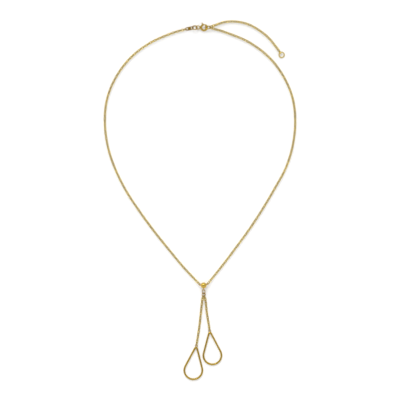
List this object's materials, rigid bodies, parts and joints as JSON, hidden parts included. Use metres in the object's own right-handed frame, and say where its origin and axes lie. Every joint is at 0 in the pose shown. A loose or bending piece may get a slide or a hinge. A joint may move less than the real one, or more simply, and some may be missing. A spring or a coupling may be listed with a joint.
{
  "type": "lariat necklace",
  "caption": "Gold lariat necklace of oval cable chain with a spring-ring clasp, an extender, a polished centre ball and strands ending in open teardrops.",
  "frame": {"origin": "middle of the necklace's outline, on the surface that it lies on", "axes": "+Y runs from the drops to the clasp, +X towards the extender's free end, and +Z points away from the surface"},
  "size_m": [0.1266, 0.2363, 0.004],
  "materials": {
    "gold": "polished"
  },
  "bodies": {
    "necklace": {"clasp_ring": "gold", "clasp_jump_ring": "gold", "tag": "gold", "closing_ring": "gold", "neck_chain_left": "gold", "neck_chain_right": "gold", "extender_chain": "gold", "extender_end_link": "gold", "extender_end_ring": "gold", "centre_ball": "gold", "drop_link": "gold", "drop_ring": "gold", "drop_chain_left": "gold", "drop_chain_right": "gold", "teardrop_left": "gold", "teardrop_right": "gold"},
    "bolt": {"clasp_bolt": "gold"}
  },
  "joints": [
    {"name": "bolt_slide", "type": "hinge", "parent": "necklace", "child": "bolt", "pos_m": [0.0026, 0.1132, 0.00121], "axis": [0, -0.3206, 0.9472], "range_deg": [0, 36], "stiffness_Nm_per_rad": 0.003}
  ]
}
